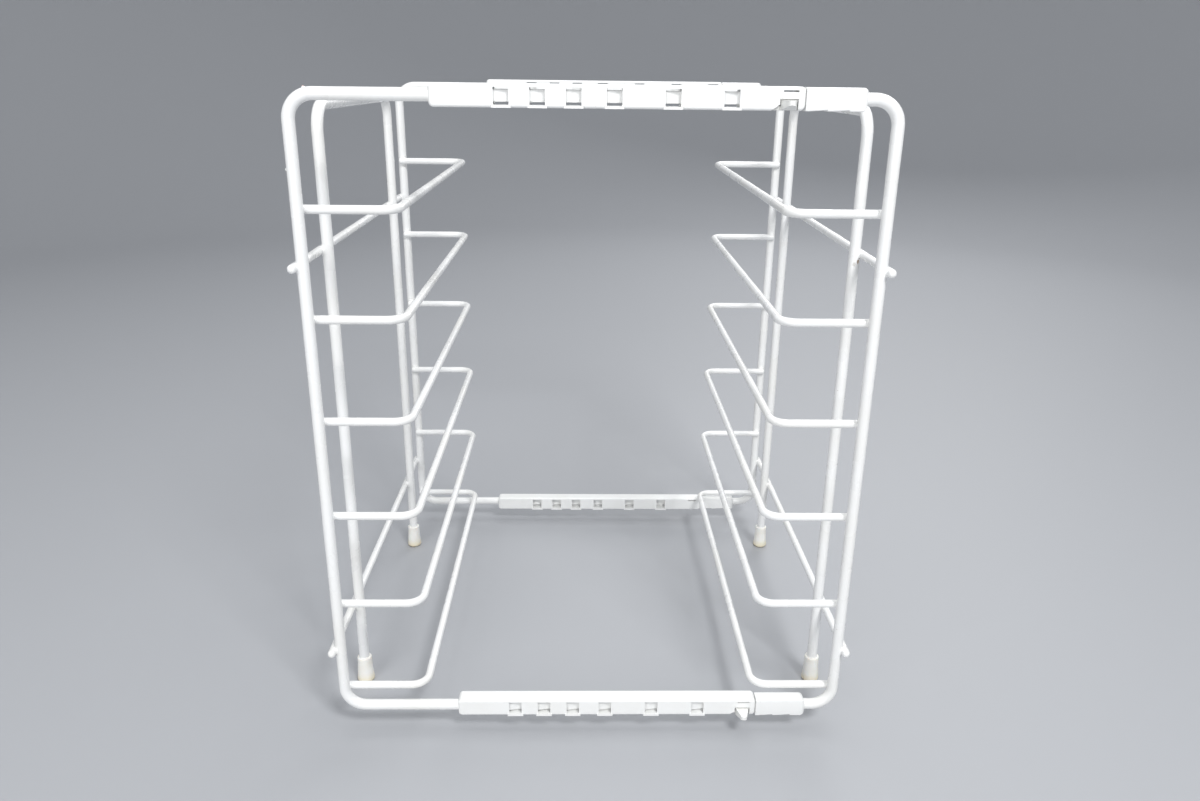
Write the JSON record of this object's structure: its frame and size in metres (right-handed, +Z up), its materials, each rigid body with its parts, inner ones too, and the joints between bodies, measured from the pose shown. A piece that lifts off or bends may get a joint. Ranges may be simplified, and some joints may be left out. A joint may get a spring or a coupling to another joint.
{
  "type": "instrument cassette rack",
  "caption": "Free-standing wire rack with bent runners for instrument cassettes and telescopic rails that widen it.",
  "frame": {"origin": "on the table under the middle of the bounding box, midway between the side frames and between front and back", "axes": "+Z up, +X to the right along the rails towards the sliding half, +Y from the front to the back"},
  "size_m": [0.2612, 0.2576, 0.3173],
  "materials": {
    "white_coating": "thick glossy white dip coating over steel wire",
    "white_moulding": "smooth white moulded plastic",
    "cream_cap": "satin cream plastic, slightly yellowed"
  },
  "bodies": {
    "left_half": {"left_front_frame": "white_coating", "left_rear_frame": "white_coating", "left_hoop": "white_coating", "left_runner_1": "white_coating", "left_runner_2": "white_coating", "left_runner_3": "white_coating", "left_runner_4": "white_coating", "left_runner_5": "white_coating", "left_runner_6": "white_coating", "left_lower_stringer": "white_coating", "left_upper_stringer": "white_coating", "left_front_foot": "cream_cap", "left_rear_foot": "cream_cap", "bottom_front_sleeve": "white_moulding", "bottom_rear_sleeve": "white_moulding", "top_front_sleeve": "white_moulding", "top_rear_sleeve": "white_moulding"},
    "right_half": {"right_front_frame": "white_coating", "right_rear_frame": "white_coating", "right_hoop": "white_coating", "right_runner_1": "white_coating", "right_runner_2": "white_coating", "right_runner_3": "white_coating", "right_runner_4": "white_coating", "right_runner_5": "white_coating", "right_runner_6": "white_coating", "right_lower_stringer": "white_coating", "right_upper_stringer": "white_coating", "right_front_foot": "cream_cap", "right_rear_foot": "cream_cap", "bottom_front_slide": "white_moulding", "bottom_rear_slide": "white_moulding", "top_front_slide": "white_moulding", "top_rear_slide": "white_moulding"},
    "bottom_front_lever": {"bottom_front_latch": "white_moulding"},
    "bottom_rear_lever": {"bottom_rear_latch": "white_moulding"},
    "top_front_lever": {"top_front_latch": "white_moulding"},
    "top_rear_lever": {"top_rear_latch": "white_moulding"}
  },
  "joints": [
    {"name": "width_adjust", "type": "slide", "parent": "left_half", "child": "right_half", "axis": [1, 0, 0], "range_m": [0, 0.046]},
    {"name": "bottom_front_release", "type": "hinge", "parent": "left_half", "child": "bottom_front_lever", "pos_m": [0.0636, -0.1186, 0.0113], "axis": [0, 1, 0], "range_deg": [0, 6], "stiffness_Nm_per_rad": 0.8},
    {"name": "bottom_rear_release", "type": "hinge", "parent": "left_half", "child": "bottom_rear_lever", "pos_m": [0.0636, 0.1186, 0.0113], "axis": [0, 1, 0], "range_deg": [0, 6], "stiffness_Nm_per_rad": 0.8},
    {"name": "top_front_release", "type": "hinge", "parent": "left_half", "child": "top_front_lever", "pos_m": [0.0636, -0.1186, 0.3089], "axis": [0, 1, 0], "range_deg": [0, 6], "stiffness_Nm_per_rad": 0.8},
    {"name": "top_rear_release", "type": "hinge", "parent": "left_half", "child": "top_rear_lever", "pos_m": [0.0636, 0.1186, 0.3089], "axis": [0, 1, 0], "range_deg": [0, 6], "stiffness_Nm_per_rad": 0.8}
  ]
}
